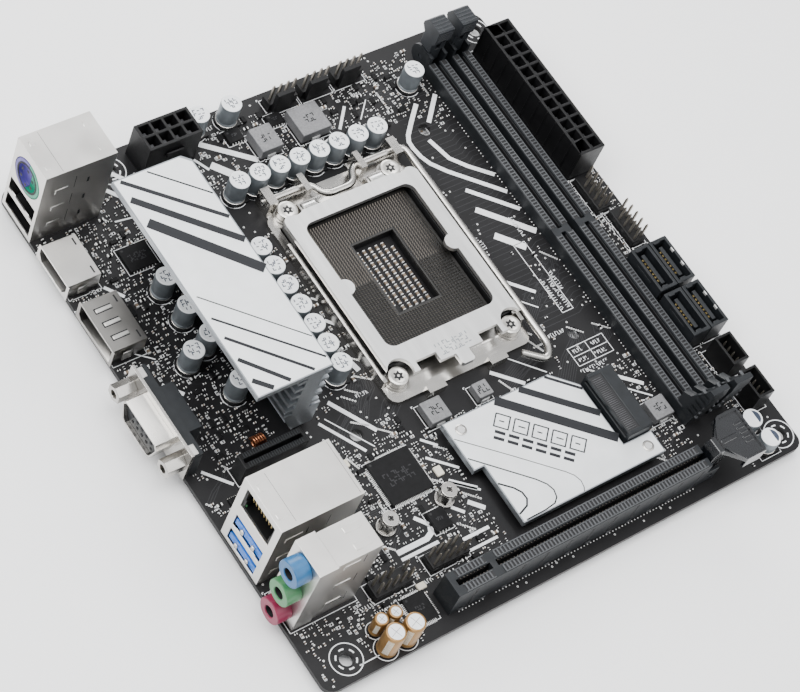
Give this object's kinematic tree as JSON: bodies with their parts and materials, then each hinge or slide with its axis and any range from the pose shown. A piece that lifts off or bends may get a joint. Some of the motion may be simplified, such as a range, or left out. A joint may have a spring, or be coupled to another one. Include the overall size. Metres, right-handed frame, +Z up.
{
  "type": "computer motherboard",
  "caption": "Compact square computer motherboard with a processor socket under a hinged load plate, heatsinks, memory sockets, expansion slot and rear connectors.",
  "frame": {"origin": "centre of the case mounting hole at the rear corner on the expansion slot side, at the board's underside", "axes": "+X from the rear connectors towards the memory sockets, +Y from the expansion slot towards the power edge, +Z up from the board"},
  "size_m": [0.1769, 0.17, 0.0368],
  "materials": {
    "board_laminate": "satin solder mask",
    "black_plastic": "moulded, satin",
    "grey_plastic": "moulded, satin",
    "contact_bed": "fine plated contacts",
    "nickel_steel": "bright nickel plate",
    "stamped_steel": "satin rolled steel",
    "black_steel": "dark zinc",
    "silver_heatsink": "bead-blasted anodised",
    "thermal_pad": "soft",
    "chip_black": "matt epoxy",
    "chip_green": "laminate package",
    "gold_contact": "gold plated",
    "pin_tin": "tin plated",
    "smoke_plastic": "translucent smoke",
    "latch_plastic": "moulded, satin",
    "purple_plastic": "moulded",
    "green_plastic": "moulded",
    "blue_plastic": "moulded",
    "jack_blue": "moulded",
    "jack_green": "moulded",
    "jack_pink": "moulded",
    "cap_can": "laminated can",
    "audio_can": "gold film",
    "inductor_grey": "pressed iron powder"
  },
  "bodies": {
    "board": {"circuit_board": "board_laminate", "socket_backplate": "black_steel", "socket_housing": "black_plastic", "socket_contacts": "contact_bed", "socket_frame": "nickel_steel", "socket_screws": "black_steel", "vrm_heatsink": "silver_heatsink", "vrm_thermal_pad": "thermal_pad", "vrm_mosfets": "chip_black", "chipset_heatsink": "silver_heatsink", "chipset_heatsink_pins": "stamped_steel", "chipset": "chip_green", "dimm_socket_a": "grey_plastic", "dimm_socket_b": "grey_plastic", "dimm_contacts": "gold_contact", "pcie_slot": "grey_plastic", "pcie_contacts": "gold_contact", "m2_socket": "grey_plastic", "wifi_socket": "black_plastic", "m2_standoffs": "nickel_steel", "m2_screws": "nickel_steel", "atx24_header": "black_plastic", "atx8_header": "black_plastic", "power_pins": "pin_tin", "sata_ports": "grey_plastic", "sata_contacts": "gold_contact", "fan_headers": "black_plastic", "pin_headers": "black_plastic", "shrouded_headers": "black_plastic", "header_pins": "pin_tin", "ps2_usb_shell": "nickel_steel", "ps2_port_purple": "purple_plastic", "ps2_port_green": "green_plastic", "usb2_inserts": "black_plastic", "hdmi_shell": "nickel_steel", "hdmi_insert": "black_plastic", "displayport_shell": "nickel_steel", "displayport_insert": "black_plastic", "vga_shell": "nickel_steel", "vga_body": "black_plastic", "vga_hex_nuts": "nickel_steel", "lan_usb3_shell": "nickel_steel", "lan_insert": "black_plastic", "lan_contacts": "gold_contact", "usb3_inserts": "blue_plastic", "audio_shield": "nickel_steel", "audio_jack_blue": "jack_blue", "audio_jack_green": "jack_green", "audio_jack_pink": "jack_pink", "polymer_caps": "cap_can", "audio_caps": "audio_can", "low_caps": "cap_can", "inductors": "inductor_grey", "chips": "chip_black"},
    "load_plate": {"load_plate": "stamped_steel"},
    "load_lever": {"load_lever": "nickel_steel"},
    "dimm_latch_a": {"dimm_latch_a": "latch_plastic"},
    "dimm_latch_b": {"dimm_latch_b": "latch_plastic"},
    "pcie_latch": {"pcie_latch": "smoke_plastic"}
  },
  "joints": [
    {"name": "load_plate_hinge", "type": "hinge", "parent": "board", "child": "load_plate", "pos_m": [0.07914, 0.12185, 0.006], "axis": [-1, 0, 0], "range_deg": [0, 100]},
    {"name": "load_lever_hinge", "type": "hinge", "parent": "board", "child": "load_lever", "pos_m": [0.07914, 0.12855, 0.0056], "axis": [-1, 0, 0], "range_deg": [0, 110]},
    {"name": "dimm_latch_a_hinge", "type": "hinge", "parent": "board", "child": "dimm_latch_a", "pos_m": [0.13284, 0.15405, 0.0056], "axis": [-1, 0, 0], "range_deg": [0, 30]},
    {"name": "dimm_latch_b_hinge", "type": "hinge", "parent": "board", "child": "dimm_latch_b", "pos_m": [0.14174, 0.15405, 0.0056], "axis": [-1, 0, 0], "range_deg": [0, 30]},
    {"name": "pcie_latch_hinge", "type": "hinge", "parent": "board", "child": "pcie_latch", "pos_m": [0.12444, 0.00145, 0.005], "axis": [0, 1, 0], "range_deg": [0, 18], "stiffness_Nm_per_rad": 0.01}
  ]
}
